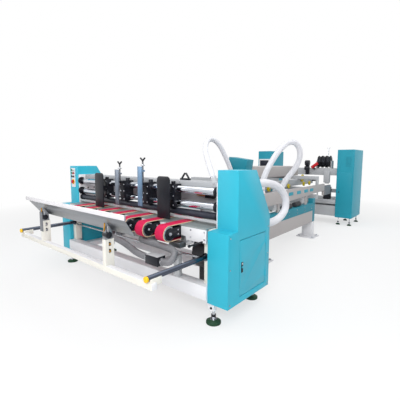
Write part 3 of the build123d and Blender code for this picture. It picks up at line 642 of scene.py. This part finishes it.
class OBJECT_OT_box_line_cabinets(bpy.types.Operator):
    """Feeder and stitcher cabinets with folded edges, doors, latches and screws."""
    bl_idname = "object.box_line_cabinets"
    bl_label = "Cabinets"

    def execute(self, context):
        edge = context.scene.box_line.edge_soft
        refined("left_side_cabinet", "teal", edge)
        refined("right_side_cabinet", "teal", edge)
        # the stitcher cabinets get the teal darkened to 0.72: painted shade
        refined("stitcher_cabinets", "teal_painted_shade_mid", edge * 1.6, 3)
        # the console box gets the teal darkened to 0.52: painted shade
        refined("console_box", "teal_painted_shade_deep", 0.004)
        refined("right_cabinet_door", "teal", 0.002)
        plate = slab("door_latch_plate", (1543, 66, 486), (1546.5, 98, 588), 0.0015)
        # the paddle is a near-black slab: painted shade of the latch's recess
        paddle = slab("paddle", (1546, 71, 492), (1549.5, 93, 556), 0.0015)
        knob = turned("door_latch_lock", (1546, 82, 572), (1549, 82, 572), 0.009, 24, 0.0006, 0.0008)
        parts = [painted(plate, "black"), painted(paddle, "shadow"), painted(knob, "steel")]
        finish_piece(joined("door_latch", parts), None, "cabinet_door")
        for sx in (-1, 1):
            # stitcher doors in the teal darkened to 0.72: painted shade
            x = sx * 1058
            door = slab("stitcher_door_%s" % ("left" if sx < 0 else "right"), (x - 150, 5354.5, 300),
                        (x + 150, 5360, 1270), 0.002)
            finish_piece(door, "teal_painted_shade_mid")
            knob = turned("stitcher_latch_%s" % ("left" if sx < 0 else "right"), (x - sx * 118, 5356, 800),
                          (x - sx * 118, 5349, 800), 0.014, 28, 0.001, 0.002)
            finish_piece(knob, "black")
        places = [(1544, y, z) for y in (-118, 592) for z in (230, 560, 850)]
        bolts("cabinet_screws_right", places, (1, 0, 0), 0.005, "steel")
        places = [(-1544, y, z) for y in (-118, 592) for z in (230, 560, 850)]
        bolts("cabinet_screws_left", places, (-1, 0, 0), 0.005, "steel")
        panel = slab("left_cabinet_panel", (-1547, 40, 262), (-1543, 537, 800), 0.0015)
        finish_piece(panel, "teal")
        # vent slats in the teal darkened to 0.52: painted shade in the vent
        vents = slab("vent", (1064, 5358, 1420), (1184, 5361, 1428), 0.001, 1)
        row = copies(vents, "stitcher_vents", [Vector((0, -0.0015, 0.03 * i)) for i in range(8)])
        finish_piece(row, "teal_painted_shade_deep")
        return {"FINISHED"}


class OBJECT_OT_box_line_panels(bpy.types.Operator):
    """The button panel on the feeder and the screen on the stitcher."""
    bl_idname = "object.box_line_panels"
    bl_label = "Operator panels"

    def execute(self, context):
        face = painted(slab("face", (-1492, -8, 1131), (-1382, 0, 1418), 0.003), "white")
        parts = [face]
        for z, row in ((1388, ("green", "white")), (1342, ("green", "red")), (1292, ("black", "black"))):
            for x, colour in zip((-1464, -1411), row):
                ring = painted(turned("ring", (x, -7, z), (x, -13, z), 0.019, 28, 0.001), "steel")
                cap = painted(turned("cap", (x, -12, z), (x, -22, z), 0.0145, 28, 0.002, 0.001), colour)
                parts += [ring, cap]
        plate = painted(turned("plate", (-1437, -7, 1212), (-1437, -11, 1212), 0.040, 36, 0.001), "yellow")
        stem = painted(turned("stem", (-1437, -10, 1212), (-1437, -22, 1212), 0.014, 24, 0.001), "black")
        cap = painted(turned("cap", (-1437, -20, 1212), (-1437, -30, 1212), 0.030, 36, 0.004), "red")
        parts += [plate, stem, cap]
        rim = painted(slab("rim", (-1211, 5335, 1341), (-885, 5359, 1589), 0.005), "white")
        glass = painted(slab("glass", (-1176, 5333, 1376), (-920, 5336, 1554), 0.001), "screen")
        parts += [rim, glass]
        for i in range(5):
            key = painted(turned("key", (-1160 + 56 * i, 5336, 1357), (-1160 + 56 * i, 5331, 1357), 0.008, 20,
                                 0.001), ("green", "yellow", "black", "black", "red")[i])
            parts.append(key)
        finish_piece(joined("operator_panels_dressed", parts), None, replaces=["operator_panels"])
        return {"FINISHED"}


class OBJECT_OT_box_line_feeder(bpy.types.Operator):
    """Feeder frame, table, shafts, rollers, beams and ducts."""
    bl_idname = "object.box_line_feeder"
    bl_label = "Feeder frame and table"

    def execute(self, context):
        refined("feeder_base_frame", "white", 0.003)
        refined("feeder_corner_posts", "cream", 0.003,
                shades=[(lambda c, n: abs(c.z - 0.592) < 0.0105 and abs(c.x) < 1.2299, "steel")])
        refined("feeder_side_plates", "white", 0.002)
        refined("feed_table", "table", 0.001)
        front = at(0, -150, 0).y
        refined("table_apron", "white", 0.002,
                shades=[(lambda c, n: c.z < 0.7645 or c.y < front - 0.0006, "stainless")])
        refined("cross_shafts", "chrome", 0.001)
        refined("feed_roller", "roller", 0.001)
        refined("rear_cross_panel", "grey", 0.0015)
        refined("top_cross_beam", "grey", 0.003)
        refined("beam_handle", "black", 0.002)
        refined("suction_ducts", "mid_grey", 0.002)
        refined("hose_manifold", "black", 0.003,
                shades=[(lambda c, n: n.z > 0.9 and c.z > 0.63, "grey"),
                        (lambda c, n: c.y > at(0, -354, 0).y, "grey")])
        # blower fins whose dark bands are painted shade between them
        refined("suction_blower", "fins_x", 0.004)
        refined("feed_motor", "black", 0.002,
                shades=[(lambda c, n: c.x < 0.922, "brass")])
        places = [(x, -150, z) for x in (-1270, -1100, 1100, 1270) for z in (800, 870)]
        bolts("apron_bolts", places, (0, -1, 0), 0.007)
        places = [(x, 110, z) for x in (-1180, -700, -240, 240, 700, 1180) for z in (1279, 1308)]
        bolts("top_beam_bolts", places, (0, -1, 0), 0.007)
        places = [(sx * 1290, y, z) for sx in (-1, 1) for y, z in ((150, 1120), (250, 1120), (150, 980), (250, 980))]
        bolts("side_plate_bolts_left", places[:4], (1, 0, 0), 0.008, "oxide")
        bolts("side_plate_bolts_right", places[4:], (-1, 0, 0), 0.008, "oxide")
        collars = []
        for z in (1234, 1087):
            for x in (-1290, 1262):
                collars.append(painted(turned("collar", (x, 40, z), (x + 28, 40, z), 0.052, 40, 0.002), "oxide"))
        for x in (-1290, 1262):
            collars.append(painted(turned("collar", (x, 60, 990), (x + 28, 60, 990), 0.046, 40, 0.002), "oxide"))
        finish_piece(joined("shaft_collars", collars), None)
        return {"FINISHED"}


class OBJECT_OT_box_line_belts(bpy.types.Operator):
    """Feed belts with cream edges, their arms, pulleys and hub bolts."""
    bl_idname = "object.box_line_belts"
    bl_label = "Feed belts"

    def execute(self, context):
        refined("feed_belts", "belt", 0.002, shades=[(lambda c, n: abs(n.x) > 0.8, "belt_edge")])
        refined("belt_arms", "black", 0.002)
        refined("belt_pulleys", "steel", 0.001)
        right, left = [], []
        for i in range(7):
            x = (i - 3) * 306 - 20
            right.append((x + 71, -300, 833))
            left.append((x - 71, -300, 833))
        bolts("hub_bolts_right", right, (1, 0, 0), 0.013)
        bolts("hub_bolts_left", left, (-1, 0, 0), 0.013)
        bolts("cheek_bolts_right", [(x, -190, z) for x, y, q in right for z in (815, 860)], (1, 0, 0), 0.007)
        return {"FINISHED"}


class OBJECT_OT_box_line_guides(bpy.types.Operator):
    """Side guides, front gates and their brackets."""
    bl_idname = "object.box_line_guides"
    bl_label = "Guides and gates"

    def execute(self, context):
        refined("left_side_guide", "black", 0.003)
        refined("right_side_guide", "black", 0.003)
        refined("gate_brackets", "oxide", 0.003)
        for side, finish, x, top in (("left", "gate_steel", -143, 1426), ("right", "gate_blue", 298, 1470)):
            rod_y = at(0, -72, 0).y

            def on_rod(c, n, rod_y=rod_y, x=x):
                return abs(c.y - rod_y) < 0.012 and abs(c.x - x / 1000) < 0.012

            def is_wing(c, n, top=top):
                return c.z > (top + 40) / 1000

            def is_disc(c, n, top=top, rod_y=rod_y):
                return (top + 6) / 1000 < c.z < (top + 22) / 1000 and abs(c.y - rod_y) < 0.026

            # the threaded rod's dark bands are painted shade in the thread
            refined("front_gate_" + side, finish, 0.0015,
                    shades=[(on_rod, "thread"), (is_disc, "steel"), (is_wing, "black")])
        for side, x, body in (("left", -640, "left_guide"), ("right", 630, "right_guide")):
            places = [(x + dx, -14, z) for dx in (18, 96) for z in (1060, 1160, 1262)]
            bolts(side + "_guide_bolts", places, (0, -1, 0), 0.007, "steel", body)
            wheel = turned(side + "_guide_knob", (x + 57, 30, 1288), (x + 57, 30, 1316), 0.024, 24, 0.003)
            finish_piece(wheel, "black", body)
        for side, x in (("left", -143), ("right", 298)):
            places = [(x + dx, -40, z) for dx in (-34, 34) for z in (1060, 1160, 1240)]
            bolts(side + "_bracket_bolts", places, (0, -1, 0), 0.007)
        return {"FINISHED"}


class OBJECT_OT_box_line_tray(bpy.types.Operator):
    """Slide rails, tray carriage and the brushed stacking tray."""
    bl_idname = "object.box_line_tray"
    bl_label = "Stacking tray"

    def execute(self, context):
        def off_rail(c, n):
            return math.hypot(abs(c.x) - 1.25, c.z - 0.621) > 0.0255

        refined("slide_rails", "rail", 0.001, shades=[(off_rail, "black")])
        refined("rail_end_caps", "yellow", 0.004, 3)
        refined("tray_carriage", "cream", 0.003, shades=[(lambda c, n: c.z < 0.5895, "white")])
        # faces above the lip line get the near-white lip colour: painted highlight
        refined("stacking_tray", "stainless", 0.0012,
                shades=[(lambda c, n: c.z > 1.0505, "lip")])
        parts = []
        for sx in (-1, 1):
            x = sx * 650
            for z in (720, 785):
                # near-black slabs stand in for the shade inside the clamp slots: painted shade
                parts.append(painted(slab("slot", (x - 26, -783, z - 14), (x + 26, -763, z + 14), 0.001), "shadow"))
                parts.append(painted(turned("bolt", (x + 22, -773, z), (x + 32, -773, z), 0.011, 6, 0.001),
                                     "brass" if sx > 0 else "steel"))
            parts.append(painted(turned("clamp", (x - 30, -788, 872), (x + 44, -788, 872), 0.030, 32, 0.004),
                                 "black"))
            parts.append(painted(turned("strut", (x - 20, -800, 880), (x + 34, -826, 985), 0.007, 16), "brass"))
            parts.append(painted(turned("strut", (x + 30, -790, 880), (x + 62, -812, 965), 0.006, 16), "steel"))
        plate = painted(slab("plate", (-684, -823, 705), (-616, -818, 935), 0.001), "mid_grey")
        parts += [plate, painted(slab("fold", (-689, -823, 705), (-684, -790, 935), 0.001), "steel")]
        finish_piece(joined("tray_post_fittings", parts), None, "tray_slide")
        return {"FINISHED"}


class OBJECT_OT_box_line_feet(bpy.types.Operator):
    """Levelling feet: rubber pads under zinc studs."""
    bl_idname = "object.box_line_feet"
    bl_label = "Levelling feet"

    def execute(self, context):
        near = at(0, 1000, 0).y
        refined("levelling_feet", "foot_green", 0.0015,
                shades=[(lambda c, n: c.z > 0.0405, "steel"), (lambda c, n: 0.060 < c.z < 0.088, "black"),
                        (lambda c, n: c.z > 0.121 and c.y < near, "white")])
        for sx in (-1, 1):
            side = "left" if sx < 0 else "right"
            bolts("bracket_bolts_" + side, [(sx * 1346, -134, 150), (sx * 1346, 564, 150)], (0, -1, 0), 0.009,
                  "black")
        return {"FINISHED"}


class OBJECT_OT_box_line_folder(bpy.types.Operator):
    """Folder beams, plates, tracks, wheels, motors and hood."""
    bl_idname = "object.box_line_folder"
    bl_label = "Folder"

    def execute(self, context):
        refined("folder_base_plates", "white", 0.002)
        refined("folder_legs", "white", 0.004)
        refined("folder_side_beams", "warm_grey", 0.004)
        # the folder side panels get the teal darkened to 0.52: painted shade
        refined("folder_side_panels", "teal_painted_shade_deep", 0.004)
        end = at(0, 4400, 0).y
        refined("folder_side_plates", "warm_grey", 0.003, shades=[(lambda c, n: c.y > end + 0.001, "mid_grey")])
        refined("folder_cross_beams", "grey", 0.003)
        refined("lower_track_beams", "grey", 0.002)
        refined("transport_belts", "belt_grey", 0.0015)
        refined("upper_press_beams", "grey", 0.003)
        refined("pressure_wheels", "dull_yellow", 0.003)
        refined("folder_hood", "warm_grey", 0.008, 3)
        # motor fins whose dark bands are painted shade between them
        refined("folder_motors", "fins", 0.004)
        refined("hose_ports", "white", 0.002)
        # folder tiles in the teal darkened to 0.72: painted shade
        tiles = slab("mark", (905, 0, 0), (907.5, 180, 58), 0.001)
        tiles = copies(tiles, "teal_tiles", [at(0, y, 945) - at(0, 0, 0) for y in (2570, 2910, 3255, 3545)])
        finish_piece(tiles, "teal_painted_shade_mid")
        for sx in (-1, 1):
            side = "left" if sx < 0 else "right"
            places = [(sx * 900, y, z) for y in range(800, 3700, 360) for z in (600, 660)]
            bolts("band_bolts_" + side, places, (sx, 0, 0), 0.007)
            places = [(sx * (800 + dx), 3800 + dy, 20) for dx in (-135, 135) for dy in (-125, 125)]
            places += [(sx * (800 + dx), 1750 + dy, 20) for dx in (-135, 135) for dy in (-125, 125)]
            bolts("anchor_bolts_" + side, places, (0, 0, 1), 0.016)
            places = [(sx * (430 + 75), y, 1032) for y in (1640, 1880, 2360, 2640, 2900, 3500, 4300, 4640)]
            bolts("wheel_bolts_" + side, places, (sx, 0, 0), 0.010)
        return {"FINISHED"}


class OBJECT_OT_box_line_stitcher(bpy.types.Operator):
    """Stitcher beams, head, anvil, drive, wire spools and mast."""
    bl_idname = "object.box_line_stitcher"
    bl_label = "Stitcher"

    def execute(self, context):
        refined("stitcher_cross_beams", "grey", 0.004)
        refined("stitch_head", "black", 0.004, shades=[(lambda c, n: c.x > 0.4, "grey")])
        refined("stitch_anvil", "oxide", 0.003)
        refined("stitch_drive", "red", 0.003,
                shades=[(lambda c, n: c.x > 0.388 or (c.x < 0.3365 and c.z < 1.415), "black")])
        refined("spool_stand", "grey", 0.002)
        refined("wire_mast", "steel", 0.001)
        for i, x in enumerate((420, 520, 620)):
            name = "wire_spool_%d" % (i + 1)
            mid = at(x, 5560, 1522)

            def is_wire(c, n, mid=mid):
                return abs(c.x - mid.x) < 0.0345 and math.hypot(c.y - mid.y, c.z - mid.z) > 0.1

            # wire turns whose dark bands are painted shade between them
            refined(name, "black", 0.002, shades=[(is_wire, "wire")])
            hub = turned(name + "_hub", (x - 43.5, 5560, 1522), (x - 41, 5560, 1522), 0.045, 32, 0.001)
            finish_piece(hub, "steel", "spool_" + "abc"[i])
        return {"FINISHED"}


class VIEW3D_PT_box_line(bpy.types.Panel):
    """Lists the machine's operators."""
    bl_label = "Box Line"
    bl_space_type = "VIEW_3D"
    bl_region_type = "UI"
    bl_category = "Box Line"

    def draw(self, context):
        s = context.scene.box_line
        for key in ("teal", "white", "warm_grey", "belt", "rib_pitch", "edge_soft", "hose_sides"):
            self.layout.prop(s, key)
        for cls in OPERATORS:
            self.layout.operator(cls.bl_idname)


OPERATORS = [
    OBJECT_OT_box_line_stage,
    OBJECT_OT_box_line_hoses,
    OBJECT_OT_box_line_cabinets,
    OBJECT_OT_box_line_panels,
    OBJECT_OT_box_line_feeder,
    OBJECT_OT_box_line_belts,
    OBJECT_OT_box_line_guides,
    OBJECT_OT_box_line_tray,
    OBJECT_OT_box_line_feet,
    OBJECT_OT_box_line_folder,
    OBJECT_OT_box_line_stitcher,
]


def register():
    """Adds the settings, the operators and the panel."""
    for cls in [BoxLineSettings] + OPERATORS + [VIEW3D_PT_box_line]:
        bpy.utils.register_class(cls)
    bpy.types.Scene.box_line = PointerProperty(type=BoxLineSettings)


def unregister():
    """Takes them away again."""
    del bpy.types.Scene.box_line
    for cls in reversed([BoxLineSettings] + OPERATORS + [VIEW3D_PT_box_line]):
        bpy.utils.unregister_class(cls)


def main():
    """Dresses the machine."""
    register()
    mix_finishes(bpy.context.scene.box_line)
    for cls in OPERATORS:
        area, name = cls.bl_idname.split(".")
        getattr(getattr(bpy.ops, area), name)()


if __name__ == "__main__":
    main()
